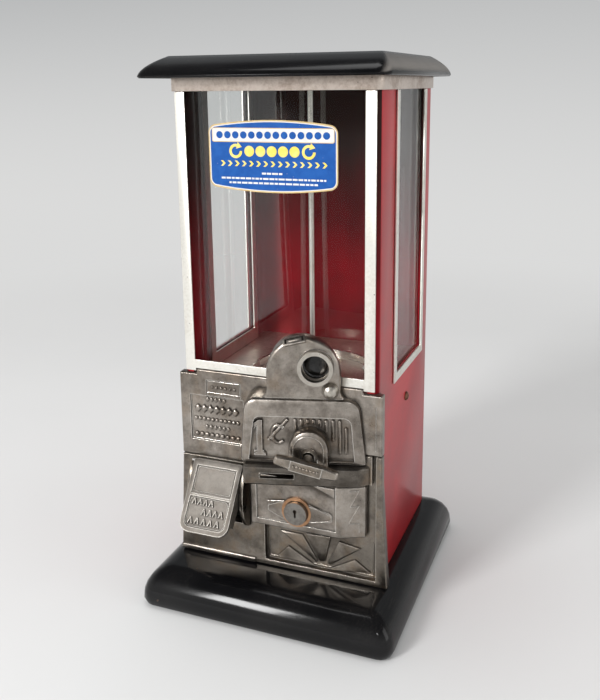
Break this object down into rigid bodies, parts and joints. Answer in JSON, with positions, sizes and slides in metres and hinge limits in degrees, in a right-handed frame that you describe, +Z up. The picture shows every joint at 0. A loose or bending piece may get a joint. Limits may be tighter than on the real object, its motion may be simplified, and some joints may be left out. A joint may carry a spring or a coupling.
{
  "type": "coin-operated gumball machine",
  "caption": "Square glazed ball gum vendor with an ornate cast front, turning coin handle, gum wheel, lifting flap, cash drawer and lift-off lid",
  "frame": {"origin": "middle of the base's underside", "axes": "+Z up, +X to the machine's right as seen from the front, the front faces -Y"},
  "size_m": [0.1986, 0.2056, 0.4064],
  "materials": {
    "base_casting": "gloss black enamel",
    "roof_lid": "gloss black enamel",
    "body_shell": "gloss red enamel",
    "collar_band": "worn nickel plate",
    "front_window_frame": "worn nickel plate",
    "left_window_frame": "worn nickel plate",
    "right_window_frame": "worn nickel plate",
    "left_glass_channel": "worn nickel plate",
    "right_glass_channel": "worn nickel plate",
    "center_rod": "worn nickel plate",
    "viewer_bezel": "worn nickel plate",
    "upper_casting": "aged grey casting",
    "lower_casting": "aged grey casting",
    "chute_cheek_left": "aged grey casting",
    "chute_cheek_right": "aged grey casting",
    "coin_head": "aged grey casting",
    "coin_visor": "aged grey casting",
    "drawer_front": "aged grey casting",
    "chute_flap": "worn bright casting",
    "handle_bar": "worn bright casting",
    "hopper_floor": "satin",
    "gum_wheel": "satin",
    "wheel_housing": "polished",
    "ball_deflector": "polished",
    "boss_button": "polished",
    "handle_shaft": "polished",
    "counter_shaft": "polished",
    "base_bolt_1": "plain",
    "base_bolt_2": "plain",
    "base_bolt_3": "plain",
    "base_bolt_4": "plain",
    "bottom_pan": "plain",
    "lid_boss": "plain",
    "lid_nut": "plain",
    "floor_bracket_left": "plain",
    "floor_bracket_right": "plain",
    "rod_strap": "plain",
    "gum_cup": "plain",
    "flap_pin": "plain",
    "coin_track": "plain",
    "shaft_bracket": "plain",
    "cash_tray": "plain",
    "drawer_rail_left": "plain",
    "drawer_rail_right": "plain",
    "lock_plug": "plain",
    "coin_carrier": "dull",
    "drive_mitre": "dull",
    "counter_mitre": "dull",
    "counter_pinion": "dull",
    "wheel_gear": "dull",
    "shaft_bushing": "dull",
    "lock_ring": "dull",
    "front_glass": "clear",
    "left_glass": "clear",
    "right_glass": "clear",
    "viewer_lens": "dark"
  },
  "bodies": {
    "machine": {"base_casting": "base_casting", "body_shell": "body_shell", "collar_band": "collar_band", "front_window_frame": "front_window_frame", "left_window_frame": "left_window_frame", "right_window_frame": "right_window_frame", "left_glass_channel": "left_glass_channel", "right_glass_channel": "right_glass_channel", "center_rod": "center_rod", "viewer_bezel": "viewer_bezel", "upper_casting": "upper_casting", "lower_casting": "lower_casting", "chute_cheek_left": "chute_cheek_left", "chute_cheek_right": "chute_cheek_right", "coin_head": "coin_head", "coin_visor": "coin_visor", "hopper_floor": "hopper_floor", "wheel_housing": "wheel_housing", "ball_deflector": "ball_deflector", "boss_button": "boss_button", "base_bolt_1": "base_bolt_1", "base_bolt_2": "base_bolt_2", "base_bolt_3": "base_bolt_3", "base_bolt_4": "base_bolt_4", "bottom_pan": "bottom_pan", "floor_bracket_left": "floor_bracket_left", "floor_bracket_right": "floor_bracket_right", "rod_strap": "rod_strap", "gum_cup": "gum_cup", "flap_pin": "flap_pin", "coin_track": "coin_track", "shaft_bracket": "shaft_bracket", "drawer_rail_left": "drawer_rail_left", "drawer_rail_right": "drawer_rail_right", "shaft_bushing": "shaft_bushing", "front_glass": "front_glass", "left_glass": "left_glass", "right_glass": "right_glass", "viewer_lens": "viewer_lens"},
    "lid": {"roof_lid": "roof_lid", "lid_boss": "lid_boss", "lid_nut": "lid_nut"},
    "handle": {"handle_bar": "handle_bar", "handle_shaft": "handle_shaft", "coin_carrier": "coin_carrier", "drive_mitre": "drive_mitre"},
    "countershaft": {"counter_shaft": "counter_shaft", "counter_mitre": "counter_mitre", "counter_pinion": "counter_pinion"},
    "wheel": {"gum_wheel": "gum_wheel", "wheel_gear": "wheel_gear"},
    "flap": {"chute_flap": "chute_flap"},
    "drawer": {"drawer_front": "drawer_front", "cash_tray": "cash_tray", "lock_ring": "lock_ring"},
    "lock": {"lock_plug": "lock_plug"}
  },
  "joints": [
    {"name": "handle_turn", "type": "hinge", "parent": "machine", "child": "handle", "pos_m": [0.0297, -0.0738, 0.1302], "axis": [-0.2588, 0.9659, 0], "continuous": true},
    {"name": "countershaft_turn", "type": "hinge", "parent": "machine", "child": "countershaft", "pos_m": [0.01771, -0.02905, 0.1474], "axis": [0, 0, 1], "continuous": true},
    {"name": "wheel_turn", "type": "hinge", "parent": "machine", "child": "wheel", "pos_m": [0.008, -0.0071, 0.1549], "axis": [0, 0, 1], "continuous": true},
    {"name": "flap_lift", "type": "hinge", "parent": "machine", "child": "flap", "pos_m": [-0.0467, -0.0626, 0.1075], "axis": [-1, 0, 0], "range_deg": [0, 48]},
    {"name": "drawer_slide", "type": "slide", "parent": "machine", "child": "drawer", "axis": [0, -1, 0], "range_m": [0, 0.055]},
    {"name": "lock_turn", "type": "hinge", "parent": "drawer", "child": "lock", "pos_m": [0.0178, -0.0688, 0.0826], "axis": [0, -1, 0], "range_deg": [0, 90]},
    {"name": "lid_lift", "type": "slide", "parent": "machine", "child": "lid", "axis": [0, 0, 1], "range_m": [0, 0.06]}
  ],
  "couplings": [
    {"joint": "handle_turn", "follows": "wheel_turn", "ratio": -3},
    {"joint": "countershaft_turn", "follows": "wheel_turn", "ratio": -3}
  ]
}
